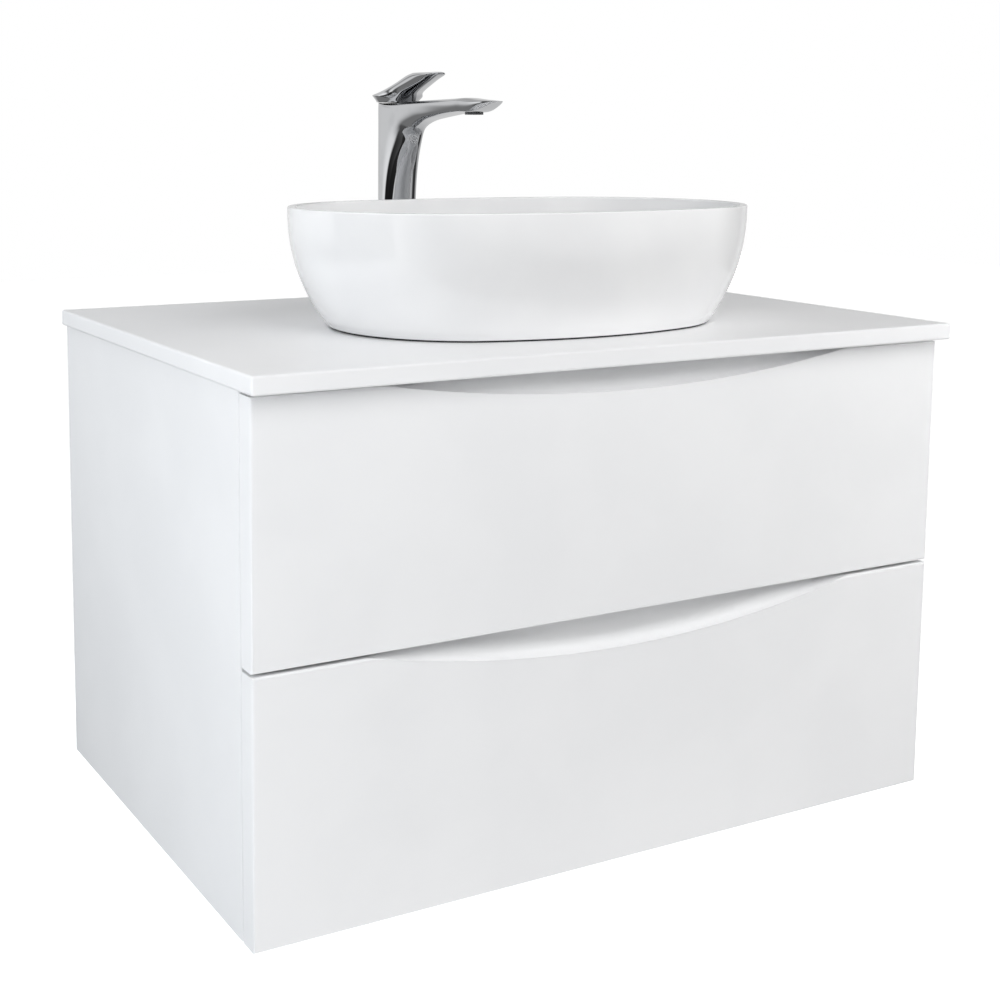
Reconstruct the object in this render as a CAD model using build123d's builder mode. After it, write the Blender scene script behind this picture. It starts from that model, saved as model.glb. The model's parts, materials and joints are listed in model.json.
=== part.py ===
from build123d import *
from math import atan2, cos, degrees, radians, sin
import os

os.makedirs("parts", exist_ok=True)

# Sizes are in millimetres. The wall is the plane y = 0, the room lies towards -Y,
# x = 0 is the middle of the cabinet and z = 0 is the line of the wall screws.

# Worktop
worktop_width = 750
worktop_depth = 500
worktop_thickness = 16
worktop_round = 2.5

# Cabinet
side_overhang = 5
front_overhang = 14
cabinet_height = 462
board = 16
board_round = 2
wall_line_drop = 70
back_rail_thickness = 18
hanging_rail_height = 80
lower_rail_height = 80
top_rail_depth = 80
wall_screw_inset = 90
wall_screw_hole = 9
hanger_plate_size = 60
hanger_plate_thickness = 3
bracket_leg = 18
bracket_width = 30
bracket_sheet = 2
rear_bracket_inset = 60
top_bracket_inset = 15
bumper_inset = 16
bumper_radius = 4
bumper_gap = 0.3

# Drawer fronts with a crescent scoop in the top edge
front_thickness = 22
front_gap = 2.5
reveal = 3
lower_front_height = 232.5
front_round = 3
scoop_depth = 15
scoop_round = 12
upper_scoop_half_width = 250
upper_scoop_drop = 21.5
lower_scoop_half_width = 266
lower_scoop_drop = 30

# Drawer boxes
drawer_board = 12
drawer_bottom = 10
drawer_back_space = 16
upper_box_drop = 37
lower_box_drop = 42
upper_box_lift = 15
lower_box_lift = 12
front_bracket_leg = 25
front_bracket_height = 60
front_bracket_sheet = 2
notch_half_width = 55
notch_wall = 10
notch_clearance = 20

# Ball runners at the sides of each drawer
runner_space = 13
runner_height = 45
runner_sheet = 1.2
runner_back_space = 39.5
runner_play = 0.4
runner_set_back = 4
runner_lift = 40

# Basin
basin_length = 478
basin_width = 304
basin_height = 114
basin_back = 146
basin_base_inset_x = 40
basin_base_inset_y = 14
basin_wall = 7
basin_rim_round = 2.5
basin_floor = 17.5
bowl_flat_x = 70
bowl_flat_y = 55
basin_end_fullness = 0.92
basin_wall_bend = 2.3
bowl_wall_bend = 4.6
basin_levels = (0, 0.3, 0.55, 0.75, 0.9, 1)
seal_thickness = 1.5
seal_inset = 3
seal_width = 14

# Waste with a press-to-lift plug
drain_hole_radius = 23
drain_flange_radius = 33
drain_flange_thickness = 2.5
drain_tail_radius = 21
drain_bore = 16
drain_tail_below = 45
drain_gasket_thickness = 4
drain_nut_height = 10
drain_nut_radius = 31
drain_gasket_radius = 32
plug_radius = 30
plug_thickness = 6
plug_stem_radius = 4
plug_guide_drop = 40
plug_guide_height = 6
plug_guide_width = 12
plug_guide_hold = 1
plug_stem_length = 55
plug_seat_gap = 0.3
plug_play = 0.06

# Bottle trap
trap_tube_radius = 16
trap_tube_wall = 2
trap_radius = 32
trap_wall = 2.5
trap_top_drop = 105
trap_body_height = 60
trap_cup_height = 40
trap_cup_radius = 33
trap_cup_round = 10
trap_nut_height = 22
trap_nut_radius = 25
outlet_drop = 40
outlet_stub_length = 10
outlet_stub_root = 5
spigot_radius = 20
spigot_length = 50
wall_space = 2

# Mixer tap
tap_from_wall = 38
tap_radius = 21
tap_top = 217
tap_front_lean = 26
tap_column_bow = ((0, 0), (0.28, -1), (0.53, 2), (0.78, 16), (1, tap_front_lean))
tap_hole_radius = 17.5
spout_reach = 166
spout_tip = 215
spout_rise = 220.5
spout_tip_height = 216
spout_half_width = 17
spout_under_height = 205
spout_bow_reach = 82
spout_bow_height = 198
spout_root_height = 184
spout_root_inset = 5
spout_margin = 3
aerator_radius = 9.5
aerator_bore = 7
aerator_proud = 2
aerator_length = 10
inlet_radius = 4.6
inlet_spacing = 14
inlet_depth = 15
tap_gasket_thickness = 1
shank_radius = 16
shank_bore = 13.5
shank_below = 30
clamp_thickness = 4
clamp_radius = 24
tap_nut_height = 12
tap_nut_radius = 19

# Mixer cartridge and lever
cartridge_radius = 16
cartridge_height = 45
cartridge_floor = 8
cartridge_nut_height = 9
cartridge_nut_bore = 12.5
cartridge_nut_inset = 3
spindle_radius = 9
spindle_play = 0.06
spindle_seat_gap = 0.3
spindle_top_drop = 4
tongue_width = 8
tongue_thickness = 6
tongue_play = 0.3
tongue_slot_spare = 0.6
lever_pivot_drop = 12
lever_pin_radius = 1.5
lever_pin_inset = 1
lever_pin_play = 0.06
lever_gap = 0.6
lever_base_radius = 23
lever_relief_margin = 1.5
lever_relief_depth = 2
lever_skirt = 1.9
lever_brim_radius = 28
lever_brim_rise = 9
lever_rise = 32
lever_crown_radius = 14
lever_crown_reach = 44
lever_length = 95
lever_tip_round = 18
lever_neck = 5
lever_tip_thickness = 4
lever_lift_angle = 18
lever_lift_spare = 0.6
half_turn = 180

# Places worked out from the sizes above
under_z = wall_line_drop
top_z = under_z + worktop_thickness
bottom_z = under_z - cabinet_height
cabinet_width = worktop_width - 2 * side_overhang
half_width = cabinet_width / 2
inner_half = half_width - board
wall_screw_spacing = cabinet_width - 2 * wall_screw_inset
front_y = -(worktop_depth - front_overhang)
front_back_y = front_y + front_thickness
carcass_front_y = front_back_y + front_gap
box_half = inner_half - runner_space
floor_z = bottom_z + board
lower_front_top = bottom_z + lower_front_height
upper_front_bottom = lower_front_top + reveal
upper_front_top = under_z - reveal
box_back_y = -(back_rail_thickness + drawer_back_space)
upper_box_z = upper_front_bottom + upper_box_lift
upper_box_top = upper_front_top - upper_box_drop
lower_box_z = floor_z + lower_box_lift
lower_box_top = lower_front_top - lower_box_drop
basin_y = -(basin_back + basin_width / 2)
basin_z = top_z + seal_thickness
rim_z = basin_z + basin_height
basin_floor_z = basin_z + basin_floor
tap_y = -tap_from_wall
tap_top_z = top_z + tap_top
drain_tail_z = under_z - drain_tail_below
trap_top_z = under_z - trap_top_drop
trap_body_z = trap_top_z - trap_body_height
outlet_z = trap_top_z - outlet_drop
lever_pivot_z = tap_top_z - lever_pivot_drop


def save(piece, name):
    """Label a finished piece and write it to its own file."""
    piece.part.label = name
    export_step(piece.part, f"parts/{name}.step")


def slab(xs, ys, zs, mode=Mode.ADD):
    """A board between two x, two y and two z values."""
    with Locations(((xs[0] + xs[1]) / 2, (ys[0] + ys[1]) / 2, (zs[0] + zs[1]) / 2)):
        Box(xs[1] - xs[0], ys[1] - ys[0], zs[1] - zs[0], mode=mode)


def upright(radius, x, y, zs, mode=Mode.ADD):
    """A vertical cylinder between two heights."""
    with Locations((x, y, (zs[0] + zs[1]) / 2)):
        Cylinder(radius, zs[1] - zs[0], mode=mode)


def tube(outer, inner, x, y, zs):
    """A vertical pipe or ring."""
    upright(outer, x, y, zs)
    upright(inner, x, y, zs, Mode.SUBTRACT)


def along_y(radius, x, z, ys, mode=Mode.ADD):
    """A cylinder that lies along Y."""
    with Locations(Location((x, (ys[0] + ys[1]) / 2, z), (90, 0, 0))):
        Cylinder(radius, ys[1] - ys[0], mode=mode)


def along_x(radius, y, z, xs, mode=Mode.ADD):
    """A cylinder that lies along X."""
    with Locations(Location(((xs[0] + xs[1]) / 2, y, z), (0, 90, 0))):
        Cylinder(radius, xs[1] - xs[0], mode=mode)


# Carcass
for side_name, side in (("left", -1), ("right", 1)):
    with BuildPart() as side_panel:
        slab(sorted((side * inner_half, side * half_width)), (carcass_front_y, 0), (bottom_z, under_z))
        front_edges = side_panel.edges().filter_by(Axis.Z).group_by(Axis.Y)[0]
        fillet(front_edges.sort_by(Axis.X)[0 if side < 0 else -1], board_round)
    save(side_panel, f"{side_name}_side_panel")

with BuildPart() as bottom_panel:
    slab((-inner_half, inner_half), (carcass_front_y, 0), (bottom_z, floor_z))
save(bottom_panel, "bottom_panel")

wall_screw_places = [(side * wall_screw_spacing / 2, 0) for side in (-1, 1)]
with BuildPart() as hanging_rail:
    slab(
        (-inner_half, inner_half),
        (-back_rail_thickness, 0),
        (-hanging_rail_height / 2, hanging_rail_height / 2),
    )
    for x, z in wall_screw_places:
        along_y(wall_screw_hole / 2, x, z, (-back_rail_thickness, 0), Mode.SUBTRACT)
save(hanging_rail, "hanging_rail")

with BuildPart() as hanger_plates:
    plate_ys = (-back_rail_thickness - hanger_plate_thickness, -back_rail_thickness)
    for x, z in wall_screw_places:
        slab(
            (x - hanger_plate_size / 2, x + hanger_plate_size / 2),
            plate_ys,
            (z - hanger_plate_size / 2, z + hanger_plate_size / 2),
        )
    for x, z in wall_screw_places:
        along_y(wall_screw_hole / 2, x, z, plate_ys, Mode.SUBTRACT)
save(hanger_plates, "hanger_plates")

with BuildPart() as lower_back_rail:
    slab((-inner_half, inner_half), (-back_rail_thickness, 0), (floor_z, floor_z + lower_rail_height))
save(lower_back_rail, "lower_back_rail")

with BuildPart() as front_top_rail:
    slab(
        (-inner_half, inner_half),
        (carcass_front_y, carcass_front_y + top_rail_depth),
        (under_z - board, under_z),
    )
save(front_top_rail, "front_top_rail")

# Steel angle brackets in the inner corners of the carcass
with BuildPart() as corner_brackets:
    for side in (-1, 1):
        leg_xs = sorted((side * inner_half, side * (inner_half - bracket_leg)))
        web_xs = sorted((side * inner_half, side * (inner_half - bracket_sheet)))
        for mid_z in (0, floor_z + lower_rail_height / 2):
            zs = (mid_z - bracket_width / 2, mid_z + bracket_width / 2)
            slab(leg_xs, (-back_rail_thickness - bracket_sheet, -back_rail_thickness), zs)
            slab(web_xs, (-back_rail_thickness - bracket_leg, -back_rail_thickness), zs)
        for back_y in (carcass_front_y + top_rail_depth, -back_rail_thickness - rear_bracket_inset):
            ys = (back_y - bracket_width, back_y)
            slab(leg_xs, ys, (floor_z, floor_z + bracket_sheet))
            slab(web_xs, ys, (floor_z, floor_z + bracket_leg))
        top_bracket_y = carcass_front_y + top_bracket_inset
        ys = (top_bracket_y, top_bracket_y + bracket_width)
        slab(leg_xs, ys, (under_z - board - bracket_sheet, under_z - board))
        slab(web_xs, ys, (under_z - board - bracket_leg, under_z - board))
save(corner_brackets, "corner_brackets")

# Soft stops between the carcass and the closed drawer fronts
with BuildPart() as drawer_bumpers:
    for side in (-1, 1):
        for z in (
            bottom_z + bumper_inset,
            lower_front_top - bumper_inset,
            upper_front_bottom + bumper_inset,
            upper_front_top - bumper_inset,
        ):
            along_y(
                bumper_radius,
                side * (half_width - board / 2),
                z,
                (carcass_front_y - front_gap + bumper_gap, carcass_front_y),
            )
save(drawer_bumpers, "drawer_bumpers")

# Worktop with holes for the waste and the tap
with BuildPart() as worktop:
    slab((-worktop_width / 2, worktop_width / 2), (-worktop_depth, 0), (under_z, top_z))
    fillet(worktop.edges().filter_by(Axis.Z).group_by(Axis.Y)[0], worktop_round)
    rounded = worktop.faces().group_by(Axis.Z)[-1].edges() + worktop.faces().group_by(Axis.Z)[0].edges()
    fillet(rounded.filter_by(lambda edge: edge.center().Y < -worktop_round / 2), worktop_round)
    upright(drain_hole_radius, 0, basin_y, (under_z, top_z), Mode.SUBTRACT)
    upright(tap_hole_radius, 0, tap_y, (under_z, top_z), Mode.SUBTRACT)
save(worktop, "worktop")


# Drawer runners
def channel(web_x, open_x, mid_z, height):
    """A C-shaped strip along Y, its web at web_x and its flanges reaching to open_x."""
    inward = runner_sheet if open_x > web_x else -runner_sheet
    with BuildSketch(Plane.XZ.offset(-runner_back_y)) as section:
        with Locations(((web_x + open_x) / 2, mid_z)):
            Rectangle(abs(open_x - web_x), height)
        with Locations(((web_x + inward + open_x) / 2, mid_z)):
            Rectangle(abs(open_x - web_x - inward), height - 2 * runner_sheet, mode=Mode.SUBTRACT)
    extrude(section.sketch, amount=runner_length)


runner_back_y = -(back_rail_thickness + runner_back_space)
runner_length = runner_back_y - carcass_front_y - runner_set_back
middle_height = runner_height - 2 * (runner_sheet + runner_play)
inner_height = middle_height - 2 * (runner_sheet + runner_play)
runner_depth = runner_space - runner_sheet - 2 * runner_play
for drawer_name, box_z in (("upper", upper_box_z), ("lower", lower_box_z)):
    mid_z = box_z + runner_lift
    for side_name, side in (("left", -1), ("right", 1)):
        with BuildPart() as cabinet_runner:
            channel(side * inner_half, side * (inner_half - runner_depth), mid_z, runner_height)
        save(cabinet_runner, f"{drawer_name}_{side_name}_cabinet_runner")

        with BuildPart() as middle_runner:
            channel(
                side * (inner_half - runner_sheet - runner_play),
                side * (inner_half - runner_depth),
                mid_z,
                middle_height,
            )
        save(middle_runner, f"{drawer_name}_{side_name}_middle_runner")

        with BuildPart() as drawer_runner:
            channel(
                side * box_half,
                side * (inner_half - 2 * (runner_sheet + runner_play)),
                mid_z,
                inner_height,
            )
        save(drawer_runner, f"{drawer_name}_{side_name}_drawer_runner")


# Drawer fronts
def scoop(top, half_chord, drop):
    """The shallow round-edged disc that carves a crescent out of a front's top edge."""
    radius = (half_chord**2 + drop**2) / (2 * drop)
    with BuildPart() as disc:
        with BuildSketch(Plane.XZ.offset(-front_y - scoop_depth)):
            with Locations((0, top - drop + radius)):
                Circle(radius)
        extrude(amount=2 * scoop_depth)
        fillet(disc.edges().group_by(Axis.Y)[-1], scoop_round)
    return disc.part


for drawer_name, low, high, half_chord, drop in (
    ("upper", upper_front_bottom, upper_front_top, upper_scoop_half_width, upper_scoop_drop),
    ("lower", bottom_z, lower_front_top, lower_scoop_half_width, lower_scoop_drop),
):
    scoop_disc = scoop(high, half_chord, drop)
    with BuildPart() as drawer_front:
        slab((-half_width, half_width), (front_y, front_back_y), (low, high))
        fillet(drawer_front.faces().sort_by(Axis.Y)[0].edges(), front_round)
        add(scoop_disc, mode=Mode.SUBTRACT)
    save(drawer_front, f"{drawer_name}_drawer_front")

# Drawer boxes
inside_half = box_half - drawer_board
back_ys = (box_back_y - drawer_board, box_back_y)
notch_front_y = basin_y - trap_radius - notch_clearance
for drawer_name, box_z, box_top in (
    ("upper", upper_box_z, upper_box_top),
    ("lower", lower_box_z, lower_box_top),
):
    for side_name, side in (("left", -1), ("right", 1)):
        with BuildPart() as drawer_side:
            slab(
                sorted((side * inside_half, side * box_half)),
                (front_back_y, box_back_y),
                (box_z, box_top),
            )
        save(drawer_side, f"{drawer_name}_drawer_{side_name}_side")

    with BuildPart() as drawer_floor:
        slab((-inside_half, inside_half), (front_back_y, box_back_y), (box_z, box_z + drawer_bottom))
        if drawer_name == "upper":
            slab(
                (-notch_half_width, notch_half_width),
                (notch_front_y, box_back_y),
                (box_z, box_z + drawer_bottom),
                Mode.SUBTRACT,
            )
    save(drawer_floor, f"{drawer_name}_drawer_bottom")

    with BuildPart() as drawer_back:
        slab((-inside_half, inside_half), back_ys, (box_z + drawer_bottom, box_top))
        if drawer_name == "upper":
            slab(
                (-notch_half_width - notch_wall, notch_half_width + notch_wall),
                back_ys,
                (box_z + drawer_bottom, box_top),
                Mode.SUBTRACT,
            )
    save(drawer_back, f"{drawer_name}_drawer_back")

    with BuildPart() as front_brackets:
        bracket_zs = (box_top - front_bracket_height, box_top - front_bracket_sheet)
        for side in (-1, 1):
            slab(
                sorted((side * inside_half, side * (inside_half - front_bracket_sheet))),
                (front_back_y, front_back_y + front_bracket_leg),
                bracket_zs,
            )
            slab(
                sorted((side * inside_half, side * (inside_half - front_bracket_leg))),
                (front_back_y, front_back_y + front_bracket_sheet),
                bracket_zs,
            )
    save(front_brackets, f"{drawer_name}_front_brackets")

# U-shaped wall round the trap in the upper drawer
with BuildPart() as trap_notch_wall:
    wall_zs = (upper_box_z + drawer_bottom, upper_box_top)
    wall_half = notch_half_width + notch_wall
    slab((-wall_half, wall_half), (notch_front_y - notch_wall, box_back_y), wall_zs)
    slab((-notch_half_width, notch_half_width), (notch_front_y, box_back_y), wall_zs, Mode.SUBTRACT)
save(trap_notch_wall, "trap_notch_wall")


# Basin
def oval(half_length, half_depth, z):
    """A four-arc oval outline at height z, with full ends and gently bowed long sides."""
    end = basin_end_fullness * half_depth
    long = (half_length**2 + half_depth**2 - 2 * half_length * end) / (2 * (half_depth - end))
    turn = degrees(atan2(long - half_depth, half_length - end))
    with BuildSketch(Plane((0, basin_y, z))) as outline:
        with BuildLine():
            CenterArc((half_length - end, 0), end, -turn, 2 * turn)
            CenterArc((0, half_depth - long), long, turn, half_turn - 2 * turn)
            CenterArc((end - half_length, 0), end, half_turn - turn, 2 * turn)
            CenterArc((0, long - half_depth), long, half_turn + turn, half_turn - 2 * turn)
        make_face()
    return outline.sketch


rim_x = basin_length / 2
rim_y = basin_width / 2
bowl_depth = basin_height - basin_floor
with BuildPart() as basin:
    loft(
        [
            oval(
                rim_x - basin_base_inset_x * level**basin_wall_bend,
                rim_y - basin_base_inset_y * level**basin_wall_bend,
                rim_z - basin_height * level,
            )
            for level in basin_levels
        ]
    )
    bowl_x = rim_x - basin_wall
    bowl_y = rim_y - basin_wall
    loft(
        [
            oval(
                bowl_x - (bowl_x - bowl_flat_x) * level**bowl_wall_bend,
                bowl_y - (bowl_y - bowl_flat_y) * level**bowl_wall_bend,
                rim_z - bowl_depth * level,
            )
            for level in basin_levels
        ],
        mode=Mode.SUBTRACT,
    )
    upright(drain_hole_radius, 0, basin_y, (basin_z, rim_z), Mode.SUBTRACT)
    fillet(basin.faces().sort_by(Axis.Z)[-1].edges(), basin_rim_round)
save(basin, "basin")

with BuildPart() as basin_seal:
    seal_x = rim_x - basin_base_inset_x - seal_inset
    seal_y = rim_y - basin_base_inset_y - seal_inset
    extrude(oval(seal_x, seal_y, top_z), amount=seal_thickness)
    extrude(
        oval(seal_x - seal_width, seal_y - seal_width, top_z),
        amount=seal_thickness,
        mode=Mode.SUBTRACT,
    )
save(basin_seal, "basin_seal")

# Waste
flange_top_z = basin_floor_z + drain_flange_thickness
guide_top_z = basin_floor_z - plug_guide_drop
with BuildPart() as drain_body:
    upright(drain_flange_radius, 0, basin_y, (basin_floor_z, flange_top_z))
    upright(drain_tail_radius, 0, basin_y, (drain_tail_z, basin_floor_z))
    upright(drain_bore, 0, basin_y, (drain_tail_z, flange_top_z), Mode.SUBTRACT)
    slab(
        (-drain_bore - plug_guide_hold, drain_bore + plug_guide_hold),
        (basin_y - plug_guide_width / 2, basin_y + plug_guide_width / 2),
        (guide_top_z - plug_guide_height, guide_top_z),
    )
    upright(
        plug_stem_radius + plug_play,
        0,
        basin_y,
        (guide_top_z - plug_guide_height, guide_top_z),
        Mode.SUBTRACT,
    )
save(drain_body, "drain_body")

with BuildPart() as drain_plug:
    plug_z = flange_top_z + plug_seat_gap
    upright(plug_radius, 0, basin_y, (plug_z, plug_z + plug_thickness))
    fillet(drain_plug.edges().group_by(Axis.Z)[-1], plug_thickness / 2)
    upright(plug_stem_radius, 0, basin_y, (plug_z - plug_stem_length, plug_z))
save(drain_plug, "drain_plug")

with BuildPart() as drain_gasket:
    gasket_zs = (under_z - drain_gasket_thickness, under_z)
    tube(drain_gasket_radius, drain_tail_radius, 0, basin_y, gasket_zs)
save(drain_gasket, "drain_gasket")

with BuildPart() as drain_nut:
    nut_top = under_z - drain_gasket_thickness
    with BuildSketch(Plane((0, basin_y, nut_top - drain_nut_height))):
        RegularPolygon(drain_nut_radius, 8)
        Circle(drain_tail_radius, mode=Mode.SUBTRACT)
    extrude(amount=drain_nut_height)
save(drain_nut, "drain_nut")

# Bottle trap
trap_nut_z = drain_tail_z - trap_nut_height / 2
with BuildPart() as trap_inlet_nut:
    tube(trap_nut_radius, drain_tail_radius, 0, basin_y, (drain_tail_z, drain_tail_z + trap_nut_height / 2))
    tube(trap_nut_radius, trap_tube_radius, 0, basin_y, (trap_nut_z, drain_tail_z))
save(trap_inlet_nut, "trap_inlet_nut")

with BuildPart() as trap_dip_tube:
    tube(trap_tube_radius, trap_tube_radius - trap_tube_wall, 0, basin_y, (trap_body_z, drain_tail_z))
save(trap_dip_tube, "trap_dip_tube")

with BuildPart() as trap_body:
    upright(trap_radius, 0, basin_y, (trap_body_z, trap_top_z))
    upright(trap_radius - trap_wall, 0, basin_y, (trap_body_z, trap_top_z - trap_wall), Mode.SUBTRACT)
    upright(trap_tube_radius, 0, basin_y, (trap_top_z - trap_wall, trap_top_z), Mode.SUBTRACT)
    stub_end_y = basin_y + trap_radius + outlet_stub_length
    stub_start_y = basin_y + trap_radius - outlet_stub_root
    along_y(trap_tube_radius + trap_wall, 0, outlet_z, (stub_start_y, stub_end_y))
    along_y(trap_tube_radius, 0, outlet_z, (basin_y + trap_tube_radius, stub_end_y), Mode.SUBTRACT)
save(trap_body, "trap_body")

with BuildPart() as trap_top_nut:
    tube(trap_nut_radius, trap_tube_radius, 0, basin_y, (trap_top_z, trap_top_z + trap_nut_height / 2))
save(trap_top_nut, "trap_top_nut")

with BuildPart() as trap_cup:
    cup_z = trap_body_z - trap_cup_height
    upright(trap_cup_radius, 0, basin_y, (cup_z, trap_body_z))
    fillet(trap_cup.edges().group_by(Axis.Z)[0], trap_cup_round)
    upright(trap_radius - trap_wall, 0, basin_y, (cup_z + trap_wall, trap_body_z), Mode.SUBTRACT)
save(trap_cup, "trap_cup")

with BuildPart() as trap_outlet_nut:
    nut_ys = (stub_end_y, stub_end_y + trap_nut_height / 2)
    along_y(trap_nut_radius, 0, outlet_z, nut_ys)
    along_y(trap_tube_radius, 0, outlet_z, nut_ys, Mode.SUBTRACT)
save(trap_outlet_nut, "trap_outlet_nut")

with BuildPart() as outlet_pipe:
    pipe_ys = (basin_y + trap_radius, -wall_space)
    along_y(trap_tube_radius, 0, outlet_z, pipe_ys)
    along_y(spigot_radius, 0, outlet_z, (pipe_ys[1] - spigot_length, pipe_ys[1]))
    along_y(trap_tube_radius - trap_tube_wall, 0, outlet_z, pipe_ys, Mode.SUBTRACT)
save(outlet_pipe, "outlet_pipe")


# Mixer tap
def side_outline(points):
    """A face in the tap's side view, from distances out from its axis and heights above the worktop."""
    with BuildSketch(Plane.YZ) as outline:
        with BuildLine():
            Polyline(*[(tap_y - reach, top_z + height) for reach, height in points], close=True)
        make_face()
    return outline.sketch


def arm_outline(half_width, arm, tip):
    """A face seen from above: an arm from the tap's axis out to a rounded tip."""
    with BuildSketch(Plane((0, tap_y, top_z))) as outline:
        with BuildLine():
            Polyline((half_width, -arm), (half_width, 0), (-half_width, 0), (-half_width, -arm))
            EllipticalCenterArc((0, -arm), half_width, tip - arm, start_angle=half_turn, arc_size=half_turn)
        make_face()
    return outline.sketch


def column_section(front, height):
    """A level section of the tap's column, round at the back and drawn out to the front."""
    with BuildSketch(Plane((0, tap_y, top_z + height))) as outline:
        with BuildLine():
            CenterArc((0, 0), tap_radius, 0, half_turn)
            EllipticalCenterArc((0, 0), tap_radius, front, start_angle=half_turn, arc_size=half_turn)
        make_face()
    return outline.sketch


spout_arm = spout_reach - aerator_radius
spout_corner = tap_radius + tap_front_lean
with BuildPart() as spout:
    with BuildSketch(Plane.YZ) as spout_side:
        with BuildLine():
            spout_top = Polyline(
                (tap_y, top_z + spout_root_height),
                (tap_y, tap_top_z),
                (tap_y - spout_corner, tap_top_z),
                (tap_y - spout_arm, top_z + spout_rise),
                (tap_y - spout_tip, top_z + spout_tip_height),
                (tap_y - spout_reach - aerator_radius - spout_margin, top_z + spout_under_height),
                (tap_y - spout_arm + spout_margin, top_z + spout_under_height),
            )
            spout_under = ThreePointArc(
                spout_top @ 1,
                (tap_y - spout_bow_reach, top_z + spout_bow_height),
                (tap_y - spout_corner + spout_root_inset, top_z + spout_root_height),
            )
            Line(spout_under @ 1, spout_top @ 0)
        make_face()
    extrude(amount=spout_half_width, both=True)
    extrude(
        arm_outline(spout_half_width, spout_arm, spout_tip),
        amount=spout_rise + spout_margin,
        mode=Mode.INTERSECT,
    )

with BuildPart() as lever_relief:
    tube(
        lever_base_radius + lever_relief_margin,
        tap_radius,
        0,
        tap_y,
        (tap_top_z - lever_relief_depth, tap_top_z),
    )

tap_column_height = tap_top - tap_gasket_thickness
with BuildPart() as tap_body:
    loft(
        [
            column_section(tap_radius + lean, tap_gasket_thickness + share * tap_column_height)
            for share, lean in tap_column_bow
        ]
    )
    add(spout.part)
    add(lever_relief.part, mode=Mode.SUBTRACT)
    upright(cartridge_radius, 0, tap_y, (tap_top_z - cartridge_height, tap_top_z), Mode.SUBTRACT)
    aerator_z = top_z + spout_under_height - aerator_proud
    aerator_zs = (aerator_z, aerator_z + aerator_length)
    upright(aerator_radius, 0, tap_y - spout_reach, aerator_zs, Mode.SUBTRACT)
    tap_base_z = top_z + tap_gasket_thickness
    for side in (-1, 1):
        upright(
            inlet_radius,
            side * inlet_spacing / 2,
            tap_y,
            (tap_base_z, tap_base_z + inlet_depth),
            Mode.SUBTRACT,
        )
save(tap_body, "tap_body")

with BuildPart() as aerator:
    tube(aerator_radius, aerator_bore, 0, tap_y - spout_reach, aerator_zs)
save(aerator, "aerator")

with BuildPart() as tap_gasket:
    tube(tap_radius, tap_hole_radius, 0, tap_y, (top_z, tap_base_z))
save(tap_gasket, "tap_gasket")

with BuildPart() as tap_shank:
    tube(shank_radius, shank_bore, 0, tap_y, (under_z - shank_below, tap_base_z))
save(tap_shank, "tap_shank")

clamp_z = under_z - clamp_thickness
with BuildPart() as tap_clamp:
    tube(clamp_radius, shank_radius, 0, tap_y, (clamp_z, under_z))
save(tap_clamp, "tap_clamp")

with BuildPart() as tap_nut:
    with BuildSketch(Plane((0, tap_y, clamp_z - tap_nut_height))):
        RegularPolygon(tap_nut_radius, 6)
        Circle(shank_radius, mode=Mode.SUBTRACT)
    extrude(amount=tap_nut_height)
save(tap_nut, "tap_nut")

# Cartridge and the spindle that turns in it
cartridge_z = tap_top_z - cartridge_height
cartridge_nut_z = tap_top_z - cartridge_nut_inset - cartridge_nut_height
spindle_seat_z = cartridge_z + cartridge_floor
with BuildPart() as cartridge:
    upright(cartridge_radius, 0, tap_y, (cartridge_z, cartridge_nut_z))
    upright(spindle_radius + spindle_play, 0, tap_y, (spindle_seat_z, cartridge_nut_z), Mode.SUBTRACT)
save(cartridge, "cartridge")

with BuildPart() as cartridge_nut:
    nut_zs = (cartridge_nut_z, cartridge_nut_z + cartridge_nut_height)
    tube(cartridge_radius, cartridge_nut_bore, 0, tap_y, nut_zs)
save(cartridge_nut, "cartridge_nut")

spindle_top_z = tap_top_z - spindle_top_drop
slot_half = tongue_thickness / 2 + tongue_play
slot_z = lever_pivot_z - tongue_width / 2 - tongue_slot_spare
with BuildPart() as cartridge_spindle:
    upright(spindle_radius, 0, tap_y, (spindle_seat_z + spindle_seat_gap, spindle_top_z))
    slab(
        (-slot_half, slot_half),
        (tap_y - spindle_radius, tap_y + spindle_radius),
        (slot_z, spindle_top_z),
        Mode.SUBTRACT,
    )
    along_x(lever_pin_radius, tap_y, lever_pivot_z, (-spindle_radius, spindle_radius), Mode.SUBTRACT)
save(cartridge_spindle, "cartridge_spindle")

with BuildPart() as lever_pin:
    pin_half = spindle_radius - lever_pin_inset
    along_x(lever_pin_radius, tap_y, lever_pivot_z, (-pin_half, pin_half))
save(lever_pin, "lever_pin")

# Lever, hollow underneath so that its back edge can dip behind the tap's top as it lifts
lever_z = tap_top + lever_gap
pocket_radius = lever_base_radius - lever_skirt
lift = radians(lever_lift_angle)


def pocket_height(reach):
    """Height of the pocket's ceiling that clears the tap's top at full lift."""
    clear = lever_pivot_drop + lever_lift_spare - reach * sin(lift)
    return tap_top - lever_pivot_drop + clear / cos(lift)


with BuildPart() as lever_pocket:
    upright(pocket_radius, 0, tap_y, (top_z + tap_top, top_z + tap_top + lever_rise))
    extrude(
        side_outline(
            (
                (pocket_radius, tap_top),
                (pocket_radius, pocket_height(0)),
                (0, pocket_height(0)),
                (-pocket_radius, pocket_height(-pocket_radius)),
                (-pocket_radius, tap_top),
            )
        ),
        amount=pocket_radius,
        both=True,
        mode=Mode.INTERSECT,
    )


def lever_section(radius, reach, height):
    """A level disc of the lever's head."""
    with BuildSketch(Plane((0, tap_y - reach, top_z + height))) as outline:
        Circle(radius)
    return outline.sketch


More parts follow.
